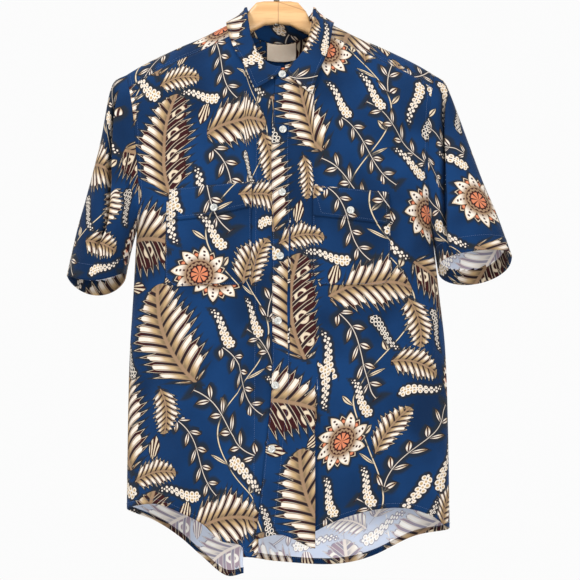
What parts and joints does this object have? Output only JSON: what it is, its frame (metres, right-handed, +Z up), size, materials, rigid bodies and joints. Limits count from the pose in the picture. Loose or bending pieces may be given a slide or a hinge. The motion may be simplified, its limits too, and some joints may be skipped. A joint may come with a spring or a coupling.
{
  "type": "hawaiian shirt on a wooden hanger",
  "caption": "Navy short-sleeved hawaiian shirt with a cream and maroon tropical leaf print, two flap pockets and a shirt-tail hem, on a wooden hanger.",
  "frame": {"origin": "inner top of the wire hook, where a rail holds it", "axes": "+Z up, fronts face -Y, the wearer's left side towards +X"},
  "size_m": [0.668, 0.1253, 0.9522],
  "materials": {
    "printed_cotton": "soft plain weave, printed",
    "label_cloth": "woven satin tape",
    "pearl_button": "pearly gloss",
    "honey_wood": "clear satin varnish",
    "dark_wire": "dark plated wire"
  },
  "bodies": {
    "root": {"front_right": "printed_cotton", "front_left": "printed_cotton", "back": "printed_cotton", "yoke": "printed_cotton", "sleeve_right": "printed_cotton", "sleeve_left": "printed_cotton", "collar_stand": "printed_cotton", "collar_leaf": "printed_cotton", "pocket_right": "printed_cotton", "pocket_left": "printed_cotton", "pocket_flap_right": "printed_cotton", "pocket_flap_left": "printed_cotton", "neck_label": "label_cloth", "button_1": "pearl_button", "button_2": "pearl_button", "button_3": "pearl_button", "button_4": "pearl_button", "button_5": "pearl_button", "button_6": "pearl_button", "button_flap_right": "pearl_button", "button_flap_left": "pearl_button", "button_stand": "pearl_button", "hanger_wood": "honey_wood", "hanger_hook": "dark_wire", "hook_collar": "dark_wire", "hook_nut": "dark_wire"}
  },
  "joints": []
}
